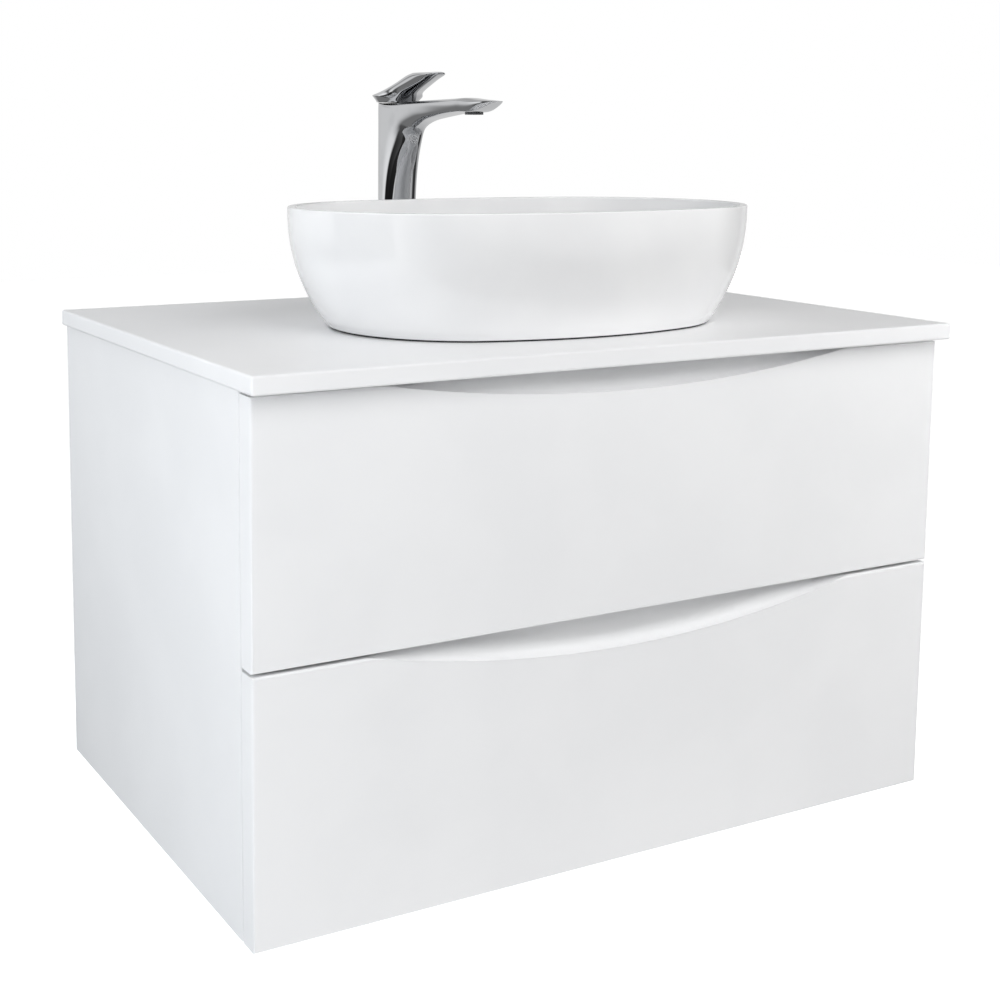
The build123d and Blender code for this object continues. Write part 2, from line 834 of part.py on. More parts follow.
lever_arm = lever_length - lever_tip_round
lever_top = tap_top + lever_rise
with BuildPart() as lever_blade:
    extrude(
        side_outline(
            (
                (0, lever_z + lever_neck),
                (0, tap_top + lever_brim_rise),
                (lever_crown_reach, lever_top),
                (lever_length, lever_top),
                (lever_length, lever_top - lever_tip_thickness),
                (lever_base_radius + lever_neck, lever_z + lever_neck),
            )
        ),
        amount=lever_crown_radius,
        both=True,
    )
    extrude(
        arm_outline(lever_crown_radius, lever_arm, lever_length),
        amount=lever_top,
        mode=Mode.INTERSECT,
    )

with BuildPart() as lever:
    brim = lever_section(lever_brim_radius, 0, tap_top + lever_brim_rise)
    loft([lever_section(lever_base_radius, 0, lever_z), brim])
    loft([brim, lever_section(lever_crown_radius, lever_crown_reach, lever_top)])
    add(lever_blade.part)
    add(lever_pocket.part, mode=Mode.SUBTRACT)
    slab(
        (-tongue_thickness / 2, tongue_thickness / 2),
        (tap_y - tongue_width / 2, tap_y + tongue_width / 2),
        (lever_pivot_z, top_z + pocket_height(-tongue_width)),
    )
    along_x(tongue_width / 2, tap_y, lever_pivot_z, (-tongue_thickness / 2, tongue_thickness / 2))
    along_x(
        lever_pin_radius + lever_pin_play,
        tap_y,
        lever_pivot_z,
        (-tongue_thickness / 2, tongue_thickness / 2),
        Mode.SUBTRACT,
    )
save(lever, "lever")
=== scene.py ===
"""The looks of a wall-hung vanity with a vessel basin and a mixer tap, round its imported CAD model."""

import json
import math

import bmesh
import bpy
from mathutils import Matrix, Vector


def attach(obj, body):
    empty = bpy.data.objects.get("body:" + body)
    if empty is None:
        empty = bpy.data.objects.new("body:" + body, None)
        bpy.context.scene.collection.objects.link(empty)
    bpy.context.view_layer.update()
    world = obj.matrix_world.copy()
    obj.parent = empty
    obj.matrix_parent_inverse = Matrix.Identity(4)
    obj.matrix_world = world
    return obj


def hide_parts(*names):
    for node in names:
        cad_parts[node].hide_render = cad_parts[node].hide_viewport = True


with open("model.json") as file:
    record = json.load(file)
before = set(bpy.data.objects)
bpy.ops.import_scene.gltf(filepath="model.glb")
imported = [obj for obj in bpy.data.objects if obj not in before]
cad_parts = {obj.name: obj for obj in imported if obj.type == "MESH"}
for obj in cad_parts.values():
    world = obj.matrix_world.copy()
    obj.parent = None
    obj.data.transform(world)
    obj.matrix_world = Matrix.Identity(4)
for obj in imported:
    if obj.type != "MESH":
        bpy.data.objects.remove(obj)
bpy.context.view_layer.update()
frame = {"nodes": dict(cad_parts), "record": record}
nodes = frame["nodes"]
bodies = frame["record"]["behaviour"]["bodies"]
body_of_node = {node: body for body, members in bodies.items() for node in members}
slot_of_node = {part["node"]: part["material_slot"] for part in frame["record"]["subparts"]}
MM = 0.001

# Camera, from the lines of the photographed cabinet: metres, radians, and a lens in millimetres
EYE = Vector((-0.8425, -1.6008, 0.2739))
HEADING = 0.49682
DOWNWARD_TILT = 0.12663
ROLL = 0.0044
LENS = 56.764
SENSOR_WIDTH = 36
SHIFT = (0.1, -0.17)

# Studio. A grey ring is (share of the way round, level) pairs, from -X through -Y, +X and +Y.
# A rise is the range of upward slope over which one ring gives way to the next one up.
FLOOR_Z = -0.764
FLOOR_HALF = 9.0
FLOOR_GREY = (0.85, 0.85, 0.85, 1)
FLOOR_ROUGHNESS = 0.8
FULL_WHITE = (1, 1, 1, 1)
GROUND_RISE = (-0.4, -0.05)
UPPER_RISE = (0.15, 0.45)
CEILING_RISE = (0.48, 0.72)
CEILING_LEVEL = 1.4
STUDIO_WALLS = (
    (0.0, 0.015),
    (0.075, 0.015),
    (0.085, 1.14),
    (0.115, 0.42),
    (0.17, 0.24),
    (0.3, 0.42),
    (0.44, 0.72),
    (0.47, 0.035),
    (0.53, 0.035),
    (0.57, 0.55),
    (0.68, 0.7),
    (0.76, 0.8),
    (0.83, 0.92),
    (0.87, 0.94),
    (0.9, 1.2),
    (0.925, 1.26),
    (0.94, 0.015),
)
STUDIO_UPPER = (
    (0.65, 0.2),
    (0.71, 0.8),
    (0.76, 0.8),
    (0.8, 0.3),
    (0.84, 0.2),
)
STUDIO_GROUND = (
    (0.0, 0.03),
    (0.075, 0.03),
    (0.085, 0.9),
    (0.115, 0.42),
    (0.17, 0.24),
    (0.3, 0.42),
    (0.44, 0.72),
    (0.47, 0.06),
    (0.53, 0.06),
    (0.57, 0.6),
    (0.7, 0.8),
    (0.76, 0.26),
    (0.88, 0.26),
    (0.9, 0.12),
    (0.94, 0.1),
)

# Softboxes: name, place, what it faces, side in metres, watts, colour
OBJECT_MIDDLE = (0, -0.3, -0.1)
WIDE = 0.9
NARROW = 0.45
WHITE = (1, 1, 1)
COOL_WHITE = (0.94, 0.97, 1)
SOFTBOXES = (
    ("front_top_light", (0.0, -1.43, 1.03), OBJECT_MIDDLE, WIDE, 10.0, WHITE),
    ("front_left_top_light", (-0.8, -1.1, 1.03), OBJECT_MIDDLE, WIDE, 4.4, WHITE),
    ("front_right_top_light", (0.8, -1.1, 1.03), OBJECT_MIDDLE, WIDE, 3.7, WHITE),
    ("right_light", (1.59, -0.3, 0.04), OBJECT_MIDDLE, WIDE, 8.0, WHITE),
    ("left_light", (-1.59, -0.3, 0.04), OBJECT_MIDDLE, WIDE, 9.2, COOL_WHITE),
    ("back_light", (0.0, 1.29, 0.04), OBJECT_MIDDLE, WIDE, 8.1, WHITE),
    ("back_left_light", (-1.13, 0.83, 0.04), OBJECT_MIDDLE, WIDE, 2.8, COOL_WHITE),
    ("back_left_top_light", (-0.8, 0.5, 1.03), OBJECT_MIDDLE, WIDE, 5.2, COOL_WHITE),
    ("under_floor_light", (0.0, -1.1, -1.49), OBJECT_MIDDLE, WIDE, 17.6, WHITE),
    ("near_left_light", (-0.95, -1.0, 0.2), (-0.3, -0.45, -0.1), NARROW, 2.5, COOL_WHITE),
    ("near_left_low_light", (-0.95, -0.85, -0.45), (-0.3, -0.4, -0.2), NARROW, 1.4, COOL_WHITE),
    ("low_side_light", (-1.05, -0.42, -0.55), (-0.375, -0.3, -0.3), NARROW, 0.7, COOL_WHITE),
    ("near_right_light", (1.0, -1.0, 0.2), (0.35, -0.45, -0.1), NARROW, 4.3, WHITE),
)

# Copies of CAD pieces
SAME_POINT = 1e-6  # metres
FLAT_WITHIN = 0.2  # degrees
CRISP_EDGE = 32  # degrees

# Basin, with its sizes in millimetres
BASIN_SIZES = {
    "half length": 239,
    "half depth": 152,
    "foot inset along": 40,
    "foot inset across": 14,
    "base height": 87.5,
    "rim height": 201.5,
    "floor height": 105,
    "wall": 7,
    "rim round": 1.6,
    "foot round": 2,
    "bowl flat along": 70,
    "bowl flat across": 55,
    "drain radius": 23,
    "middle from wall": 298,
}
BASIN_BENDS = {"outer bend": 2.3, "bowl bend": 4.6, "end fullness": 0.92}
BASIN_POINTS_ROUND = 160
FOOT_ROUND_ROWS = 6
RIM_ROUND_ROWS = 7
BASIN_WALL_ROWS = 34
FLAT_ROWS = 2
BASIN_JOIN_WITHIN = 1e-5  # metres
BASIN_CRISP_EDGE = 50  # degrees

# Tap, in millimetres, with heights above the worktop
TAP_Y = -38
TAP_RADIUS = 21
WORKTOP_TOP_Z = 86
LEVER_LIFT = math.radians(18)
LEVER_BOTTOM = 217.6
LEVER_POCKET_RADIUS = 21.8
LEVER_POCKET_CEILING = 218.25
LEVER_SKIRT_RADIUS = 23
HALF_RING = 7
WHOLE_HALF_RING = range(HALF_RING)
ROUNDING_LEVELS = 3
FIT_ROUNDS = 8
TAP_CRISP_EDGE = 40  # degrees


# Node sums
class Value:
    """A node's output on which sums are written as Python expressions."""

    def __init__(self, making, socket):
        self.making = making
        self.socket = socket

    def __add__(self, other):
        return self.making.sum("ADD", self, other)

    def __radd__(self, other):
        return self.making.sum("ADD", other, self)

    def __sub__(self, other):
        return self.making.sum("SUBTRACT", self, other)

    def __rsub__(self, other):
        return self.making.sum("SUBTRACT", other, self)

    def __mul__(self, other):
        return self.making.sum("MULTIPLY", self, other)

    def __rmul__(self, other):
        return self.making.sum("MULTIPLY", other, self)

    def __truediv__(self, other):
        return self.making.sum("DIVIDE", self, other)

    def __pow__(self, other):
        return self.making.sum("POWER", self, other)


class Making:
    """A node tree under way."""

    def __init__(self, tree):
        self.tree = tree

    def put(self, socket, value):
        """Set a socket to a plain value, or link it to a Value."""
        if isinstance(value, Value):
            self.tree.links.new(value.socket, socket)
        else:
            socket.default_value = value

    def node(self, kind, settings=None, sockets=None, output=0):
        """Add a node with its settings and its socket values, and give one of its outputs."""
        made = self.tree.nodes.new(kind)
        for name, value in (settings or {}).items():
            setattr(made, name, value)
        for name, value in (sockets or {}).items():
            self.put(made.inputs[name], value)
        return Value(self, made.outputs[output])

    def sum(self, operation, *values):
        """A Math node on one or two values."""
        return self.node("ShaderNodeMath", {"operation": operation}, dict(enumerate(values)))


class Shading(Making):
    """A shader node tree under way."""

    def noise(self, scale, detail, roughness=0.5, stretch=(1, 1, 1)):
        """A noise from 0 to 1 on stretched object coordinates, with so many lumps to a metre."""
        where = self.node("ShaderNodeTexCoord", output="Object")
        place = self.node("ShaderNodeMapping", {}, {"Vector": where, "Scale": stretch})
        return self.node(
            "ShaderNodeTexNoise",
            {},
            {"Vector": place, "Scale": scale, "Detail": detail, "Roughness": roughness},
            "Fac",
        )

    def band(self, value, low, high):
        """Stretch the part of a value between low and high to 0 to 1."""
        return self.node(
            "ShaderNodeMapRange",
            {"interpolation_type": "SMOOTHSTEP"},
            {"Value": value, "From Min": low, "From Max": high},
        )

    def mix(self, share, first, second):
        """A colour between two colours."""
        return self.node(
            "ShaderNodeMix",
            {"data_type": "RGBA"},
            {"Factor": share, 6: (*first, 1), 7: (*second, 1)},
            2,
        )

    def bump(self, height, distance, strength):
        """A surface normal from a height, with the distance in metres."""
        return self.node(
            "ShaderNodeBump",
            {},
            {"Height": height, "Distance": distance, "Strength": strength},
        )

    def ramp(self, value, levels):
        """A grey that goes through (place, level) pairs as a value goes from 0 to 1."""
        made = self.tree.nodes.new("ShaderNodeValToRGB")
        self.put(made.inputs[0], value)
        stops = made.color_ramp.elements
        for _ in levels[2:]:
            stops.new(1.0)
        for stop, (place, level) in zip(stops, levels):
            stop.position = place
            stop.color = (level, level, level, 1)
        return Value(self, made.outputs[0])


class Finish(Shading):
    """A material under way, with the shader at its end."""

    def __init__(self, name):
        self.material = bpy.data.materials.new(name)
        self.material.use_nodes = True
        super().__init__(self.material.node_tree)
        self.shader = self.tree.nodes["Principled BSDF"]

    def set(self, **sockets):
        """Set the shader's sockets by name, with underscores for spaces, and give the material."""
        for name, value in sockets.items():
            self.put(self.shader.inputs[name.replace("_", " ")], value)
        return self.material


# Finishes
def white_lacquer(name, dark, light, roughness, peel):
    """Sprayed satin lacquer with a faint orange peel and soft cloudy sheen."""
    finish = Finish(name)
    cloud = finish.noise(scale=9, detail=3)
    fine = finish.noise(scale=700, detail=2)
    return finish.set(
        Base_Color=finish.mix(finish.band(cloud, 0.3, 0.7), dark, light),
        Roughness=roughness + 0.06 * cloud,
        Specular_IOR_Level=0.45,
        Normal=finish.bump(fine, distance=peel, strength=0.35),
    )


def melamine_board(name, dark, light):
    """Faced board with a fine pressed grain that runs level."""
    finish = Finish(name)
    streak = finish.noise(scale=120, detail=4, roughness=0.6, stretch=(0.06, 0.06, 1))
    pores = finish.noise(scale=900, detail=2, stretch=(0.1, 1, 1))
    return finish.set(
        Base_Color=finish.mix(finish.band(streak, 0.25, 0.75), dark, light),
        Roughness=0.42 + 0.16 * pores,
        Normal=finish.bump(pores, distance=0.0002, strength=0.5),
    )


def glazed_ceramic():
    """White gloss glaze, a little wavy, with rare pinpricks."""
    finish = Finish("glazed ceramic")
    wave = finish.noise(scale=11, detail=2)
    speck = finish.band(finish.noise(scale=260, detail=1), 0.74, 0.8)
    tone = finish.mix(finish.band(wave, 0.3, 0.7), (0.83, 0.83, 0.835), (0.87, 0.87, 0.872))
    return finish.set(
        Base_Color=tone,
        Roughness=0.045 + 0.03 * wave + 0.08 * speck,
        Specular_IOR_Level=0.5,
        Coat_Weight=0.35 + 0.2 * wave,
        Coat_Roughness=0.03,
        Normal=finish.bump(wave, distance=0.0012, strength=0.25),
    )


def polished_chrome():
    """Mirror chrome with a film of dried water in faint patches."""
    finish = Finish("polished chrome")
    film = finish.band(finish.noise(scale=42, detail=4), 0.5, 0.78)
    drops = finish.band(finish.noise(scale=420, detail=2), 0.66, 0.78)
    return finish.set(
        Base_Color=finish.mix(film, (0.555, 0.562, 0.575), (0.515, 0.522, 0.535)),
        Metallic=1.0,
        Roughness=0.03 + 0.05 * film + 0.06 * drops,
    )


def zinc_steel():
    """Bright zinc on rolled strip, with lines along its length."""
    finish = Finish("zinc steel")
    lines = finish.noise(scale=900, detail=3, roughness=0.6, stretch=(1, 0.02, 1))
    bloom = finish.band(finish.noise(scale=60, detail=3), 0.35, 0.7)
    return finish.set(
        Base_Color=finish.mix(bloom, (0.60, 0.61, 0.64), (0.70, 0.71, 0.73)),
        Metallic=1.0,
        Roughness=0.26 + 0.14 * lines + 0.08 * bloom,
        Normal=finish.bump(lines, distance=0.00008, strength=0.4),
    )


def machined_brass():
    """Turned brass with fine rings up its height."""
    finish = Finish("machined brass")
    rings = finish.noise(scale=1400, detail=2, stretch=(0.05, 0.05, 1))
    stain = finish.band(finish.noise(scale=80, detail=3), 0.35, 0.7)
    return finish.set(
        Base_Color=finish.mix(stain, (0.70, 0.52, 0.24), (0.80, 0.64, 0.34)),
        Metallic=1.0,
        Roughness=0.22 + 0.14 * rings + 0.06 * stain,
        Normal=finish.bump(rings, distance=0.00006, strength=0.4),
    )


def moulded_plastic(name, dark, light, roughness):
    """Moulded plastic with a fine spark-eroded grain."""
    finish = Finish(name)
    flow = finish.noise(scale=26, detail=3)
    grain = finish.noise(scale=1500, detail=2)
    return finish.set(
        Base_Color=finish.mix(finish.band(flow, 0.3, 0.7), dark, light),
        Roughness=roughness + 0.12 * grain,
        Normal=finish.bump(grain, distance=0.00008, strength=0.5),
    )


FINISHES = {
    "white_lacquer": white_lacquer(
        "white lacquer", (0.815, 0.817, 0.823), (0.84, 0.841, 0.846), roughness=0.36, peel=0.00006
    ),
    "worktop_white": white_lacquer(
        "worktop satin", (0.825, 0.827, 0.834), (0.85, 0.851, 0.856), roughness=0.28, peel=0.00005
    ),
    "carcass_board": melamine_board("carcass melamine", (0.76, 0.76, 0.77), (0.82, 0.82, 0.83)),
    "drawer_board": melamine_board("drawer melamine", (0.46, 0.47, 0.48), (0.56, 0.565, 0.57)),
    "zinc_steel": zinc_steel(),
    "basin_glaze": glazed_ceramic(),
    "black_rubber": moulded_plastic(
        "black rubber", (0.018, 0.018, 0.019), (0.035, 0.035, 0.036), roughness=0.62
    ),
    "tap_chrome": polished_chrome(),
    "plain_brass": machined_brass(),
    "aerator_plastic": moulded_plastic(
        "aerator plastic", (0.05, 0.05, 0.053), (0.09, 0.09, 0.094), roughness=0.4
    ),
    "cartridge_plastic": moulded_plastic(
        "cartridge plastic", (0.62, 0.62, 0.58), (0.70, 0.70, 0.66), roughness=0.4
    ),
    "trap_plastic": moulded_plastic(
        "trap plastic", (0.76, 0.76, 0.765), (0.82, 0.82, 0.825), roughness=0.25
    ),
}


# Pieces
def finish_piece(obj, node):
    """Dress a new mesh that stands for a CAD node, on that node's body and with its finish."""
    bpy.context.scene.collection.objects.link(obj)
    obj.data.materials.clear()
    obj.data.materials.append(FINISHES[slot_of_node[node]])
    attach(obj, body_of_node[node])
    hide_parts(node)


def evaluated(obj):
    """An object as its modifiers shape it."""
    return obj.evaluated_get(bpy.context.evaluated_depsgraph_get())


def shaped_piece(blank, name, crisp_edge):
    """A new object with the mesh that a blank's modifiers make, crisp where its edges turn sharply."""
    mesh = bpy.data.meshes.new_from_object(evaluated(blank))
    bpy.data.objects.remove(blank)
    mesh.name = name
    mesh.shade_smooth()
    mesh.set_sharp_from_angle(angle=math.radians(crisp_edge))
    return bpy.data.objects.new(name, mesh)


def smooth_copy(node):
    """A copy of a CAD node with its triangles joined, so that its rounds shade smoothly."""
    shell = bmesh.new()
    shell.from_mesh(nodes[node].data)
    bmesh.ops.remove_doubles(shell, verts=shell.verts, dist=SAME_POINT)
    flat = math.radians(FLAT_WITHIN)
    bmesh.ops.dissolve_limit(shell, angle_limit=flat, verts=shell.verts, edges=shell.edges)
    mesh = bpy.data.meshes.new(node + "_shown")
    shell.to_mesh(mesh)
    shell.free()
    mesh.shade_smooth()
    mesh.set_sharp_from_angle(angle=math.radians(CRISP_EDGE))
    piece = bpy.data.objects.new(node + "_shown", mesh)
    even = piece.modifiers.new("even shading", "WEIGHTED_NORMAL")
    even.keep_sharp = True
    finish_piece(piece, node)


# Basin
class BasinForm(Making):
    """The basin's geometry node tree: sheets of level oval rings, with an input for each size."""

    def __init__(self):
        super().__init__(bpy.data.node_groups.new("basin form", "GeometryNodeTree"))
        sockets = self.tree.interface
        self.inputs = {
            name: sockets.new_socket(name, in_out="INPUT", socket_type="NodeSocketFloat").identifier
            for name in (*BASIN_SIZES, *BASIN_BENDS)
        }
        sockets.new_socket("basin", in_out="OUTPUT", socket_type="NodeSocketGeometry")
        self.group_input = self.tree.nodes.new("NodeGroupInput")

    def given(self, *names):
        """Named inputs."""
        return [Value(self, self.group_input.outputs[name]) for name in names]

    def oval_point(self, around, half_length, half_depth):
        """A point of an oval, a share of the way around.

        The oval has four arcs: two full ends and two gently bowed long sides."""
        (fullness,) = self.given("end fullness")
        end = fullness * half_depth
        long = (half_length**2 + half_depth**2 - 2 * half_length * end) / (2 * (half_depth - end))
        turn = self.sum("ARCTAN2", long - half_depth, half_length - end)
        lap = self.sum("FRACT", around)
        second_half = self.sum("FLOOR", 2 * lap)
        share = 2 * lap - second_half
        on_long = self.sum("FLOOR", 2 * share)
        step = 2 * share - on_long
        end_angle = turn * (2 * step - 1)
        long_angle = turn + (math.pi - 2 * turn) * step
        end_x = half_length - end + end * self.sum("COSINE", end_angle)
        end_y = end * self.sum("SINE", end_angle)
        long_x = long * self.sum("COSINE", long_angle)
        long_y = half_depth - long + long * self.sum("SINE", long_angle)
        side = 1 - 2 * second_half
        x = end_x + on_long * (long_x - end_x)
        y = end_y + on_long * (long_y - end_y)
        return side * x, side * y

    def sheet(self, rows, rule):
        """Rows of rings.

        For a share of the way along the rows, the rule gives a ring's half-length, half-depth
        and height, and how far it is drawn in to the round drain hole, if at all."""
        grid = self.node(
            "GeometryNodeMeshGrid",
            {},
            {"Size X": 1.0, "Size Y": 1.0, "Vertices X": rows, "Vertices Y": BASIN_POINTS_ROUND + 1},
        )
        flat = self.node("GeometryNodeInputPosition")
        along = self.node("ShaderNodeSeparateXYZ", {}, {0: flat}, "X") + 0.5
        around = self.node("ShaderNodeSeparateXYZ", {}, {0: flat}, "Y") + 0.5
        half_length, half_depth, height, drawn_in = rule(along)
        x, y = self.oval_point(around, half_length, half_depth)
        if drawn_in is not None:
            way_x, way_y = self.oval_point(around, *self.given("bowl flat along", "bowl flat across"))
            (radius,) = self.given("drain radius")
            scale = radius / self.sum("SQRT", way_x * way_x + way_y * way_y)
            x = x + drawn_in * (way_x * scale - x)
            y = y + drawn_in * (way_y * scale - y)
        (from_wall,) = self.given("middle from wall")
        place = self.node("ShaderNodeCombineXYZ", {}, {"X": x, "Y": y - from_wall, "Z": height})
        return self.node("GeometryNodeSetPosition", {}, {"Geometry": grid, "Position": place})

    def close(self, sheets, material):
        """Join the sheets to one shell with a material, and end the tree."""
        joining = self.tree.nodes.new("GeometryNodeJoinGeometry")
        for sheet in sheets:
            self.put(joining.inputs[0], sheet)
        shell = self.node(
            "GeometryNodeMergeByDistance",
            {},
            {"Geometry": Value(self, joining.outputs[0]), "Distance": BASIN_JOIN_WITHIN},
        )
        shell = self.node("GeometryNodeFlipFaces", {}, {"Mesh": shell})
        shell = self.node("GeometryNodeRealizeInstances", {}, {"Geometry": shell})
        shell = self.node("GeometryNodeSetMaterial", {}, {"Geometry": shell, "Material": material})
        self.put(self.tree.nodes.new("NodeGroupOutput").inputs[0], shell)


def basin_form():
    """The basin's tree: under the foot, up the wall, over the rim, down the bowl, through the drain."""
    form = BasinForm()
    half_x, half_y = form.given("half length", "half depth")
    foot_in_x, foot_in_y = form.given("foot inset along", "foot inset across")
    foot_x, foot_y = half_x - foot_in_x, half_y - foot_in_y
    base, rim, bottom = form.given("base height", "rim height", "floor height")
    wall, rim_round, foot_round = form.given("wall", "rim round", "foot round")
    bowl_x, bowl_y = half_x - wall, half_y - wall
    flat_x, flat_y = form.given("bowl flat along", "bowl flat across")
    outer_bend, bowl_bend = form.given("outer bend", "bowl bend")

    def quarter_round(along):
        """What is left of a quarter round one way, and what is gone of it the other way."""
        angle = math.pi / 2 * along
        return 1 - form.sum("SINE", angle), 1 - form.sum("COSINE", angle)

    def underside(along):
        return foot_x - foot_round, foot_y - foot_round, base, 1 - along

    def foot(along):
        to_go, gone = quarter_round(along)
        inset = foot_round * to_go
        return foot_x - inset, foot_y - inset, base + foot_round * gone, None

    def outer_wall(along):
        height = rim - base
        lowest, highest = 1 - foot_round / height, rim_round / height
        level = lowest + (highest - lowest) * along
        inset = level**outer_bend
        first_row = 1 - form.sum("MINIMUM", along * (BASIN_WALL_ROWS - 1), 1.0)
        inset = inset + first_row * (1 - inset)
        return half_x - foot_in_x * inset, half_y - foot_in_y * inset, rim - height * level, None

    def outer_rim(along):
        to_go, gone = quarter_round(along)
        inset = rim_round * gone
        return half_x - inset, half_y - inset, rim - rim_round * to_go, None

    def rim_land(along):
        inset = rim_round + (wall - 2 * rim_round) * along
        return half_x - inset, half_y - inset, rim, None

    def inner_rim(along):
        to_go, gone = quarter_round(along)
        inset = wall - rim_round * to_go
        return half_x - inset, half_y - inset, rim - rim_round * gone, None

    def bowl(along):
        depth = rim - bottom
        highest = rim_round / depth
        level = highest + (1 - highest) * along
        inset = level**bowl_bend
        half_length = bowl_x - (bowl_x - flat_x) * inset
        half_depth = bowl_y - (bowl_y - flat_y) * inset
        return half_length, half_depth, rim - depth * level, None

    def bowl_floor(along):
        return flat_x, flat_y, bottom, along

    def drain_bore(along):
        return flat_x, flat_y, bottom + (base - bottom) * along, 1.0

    sheets = (
        (FLAT_ROWS, underside),
        (FOOT_ROUND_ROWS, foot),
        (BASIN_WALL_ROWS, outer_wall),
        (RIM_ROUND_ROWS, outer_rim),
        (FLAT_ROWS, rim_land),
        (RIM_ROUND_ROWS, inner_rim),
        (BASIN_WALL_ROWS, bowl),
        (FLAT_ROWS, bowl_floor),
        (FLAT_ROWS, drain_bore),
    )
    form.close([form.sheet(rows, rule) for rows, rule in sheets], FINISHES[slot_of_node["basin"]])
    return form


def basin():
    """The basin, from its tree and sizes."""
    form = basin_form()
    blank = bpy.data.objects.new("basin_blank", bpy.data.meshes.new("basin_blank"))
    bpy.context.scene.collection.objects.link(blank)
    shaping = blank.modifiers.new("basin form", "NODES")
    shaping.node_group = form.tree
    for name, size in BASIN_SIZES.items():
        shaping[form.inputs[name]] = size * MM
    for name, bend in BASIN_BENDS.items():
        shaping[form.inputs[name]] = bend
    finish_piece(shaped_piece(blank, "basin_shown", BASIN_CRISP_EDGE), "basin")


# Tap
def ring_mesh(name, points, around):
    """A closed mesh over rings of points in metres, with a face at each end."""
    shell = bmesh.new()
    verts = [shell.verts.new(point) for point in points]
    rings = [verts[i : i + around] for i in range(0, len(verts), around)]
    for ring, next_ring in zip(rings, rings[1:]):
        for i in range(around):
            after = (i + 1) % around
            shell.faces.new((ring[i], ring[after], next_ring[after], next_ring[i]))
    for end in (rings[0], rings[-1]):
        shell.faces.new(end)
    bmesh.ops.recalc_face_normals(shell, faces=shell.faces)
    mesh = bpy.data.meshes.new(name)
    shell.to_mesh(mesh)
    shell.free()
    return mesh


def tap_piece(name, rows, creases):
    """A rounded body through rows of half-ring points.

    A point is (reach from the tap's axis, height, half-width). The rows run from the front or
    underside middle to the back or top middle, and are mirrored. A crease is (rows, points of
    the half-ring, sharpness). The cage is moved until the rounded body passes through the points."""
    around = 2 * HALF_RING - 2
    points = []
    for row in rows:
        right = [
            Vector((width, TAP_Y - reach, WORKTOP_TOP_Z + height)) * MM
            for reach, height, width in row
        ]
        left = [Vector((-point.x, point.y, point.z)) for point in right[-2:0:-1]]
        points += right + left
    cage = bpy.data.objects.new(name, ring_mesh(name, points, around))
    bpy.context.scene.collection.objects.link(cage)
    sharpness = cage.data.attributes.new("crease_edge", "FLOAT", "EDGE")
    for along, across, value in creases:
        wanted = set()
        for row in along:
            for point in across:
                wanted.add(row * around + point)
                wanted.add(row * around + (around - point) % around)
        for edge in cage.data.edges:
            if set(edge.vertices) <= wanted:
                sharpness.data[edge.index].value = value
    rounding = cage.modifiers.new("rounding", "SUBSURF")
    rounding.levels = ROUNDING_LEVELS
    rounding.render_levels = ROUNDING_LEVELS
    for _ in range(FIT_ROUNDS):
        cage.data.update()
        shown = evaluated(cage).data
        misses = [point - shown.vertices[i].co for i, point in enumerate(points)]
        for vertex, miss in zip(cage.data.vertices, misses):
            vertex.co += miss
    cage.data.update()
    return shaped_piece(cage, name, TAP_CRISP_EDGE)


def half_turns():
    """Angles from the front or underside middle round to the back or top middle."""
    return [math.pi * i / (HALF_RING - 1) for i in WHOLE_HALF_RING]


def column_row(height, front):
    """A level section of the tap's column: round at the back and drawn out to the front."""
    made = []
    for turn in half_turns():
        reach = math.cos(turn) * (front if turn < math.pi / 2 else TAP_RADIUS)
        made.append((reach, height, TAP_RADIUS * math.sin(turn)))
    return made


def spout_row(reach, under, top, width):
    """An upright section of the spout: a crowned top, and flanks that turn under like a hull."""
    rise = top - under
    shape = ((0, 0), (0.48, 0.02), (0.82, 0.12), (0.99, 0.5), (1, 0.82), (0.55, 0.97), (0, 1))
    return [(reach, under + rise * up, width * out) for out, up in shape]


# Where the column leans over into the spout
SHOULDER_ROWS = (
    (
        (41.5, 170, 0), (36, 170.5, 10), (22, 173, 17.5), (3, 178, 20.6),
        (-10.5, 186, 18.2), (-18.2, 190, 10.5), (-21, 192, 0),
    ),
    (
        (45, 181, 0), (41, 182, 9.6), (29, 185.5, 16.8), (9, 193, 20.2),
        (-10.5, 209, 18.2), (-18.2, 210, 10.5), (-21, 210.5, 0),
    ),
    (
        (50, 187.5, 0), (47, 188.5, 9.2), (37, 193, 16.2), (17, 202, 19.4),
        (-10.5, 217, 18.2), (-18.2, 217, 10.5), (-21, 217, 0),
    ),
    (
        (60, 192.5, 0), (58, 193.5, 8.8), (51, 198, 15.4), (34, 207, 18),
        (10, 214.2, 20), (-6, 216.6, 10.2), (-8, 216.8, 0),
    ),
    (
        (78, 197.4, 0), (77, 198, 8.5), (73, 202, 14.8), (62, 210, 17),
        (40, 214.6, 17.6), (22, 217, 9.5), (15, 217, 0),
    ),
    (
        (105, 200.9, 0), (105, 201.3, 8.3), (104, 204.5, 14.4), (100, 212, 16.9),
        (92, 215.6, 17), (80, 218.3, 9.3), (75, 218.6, 0),
    ),
)


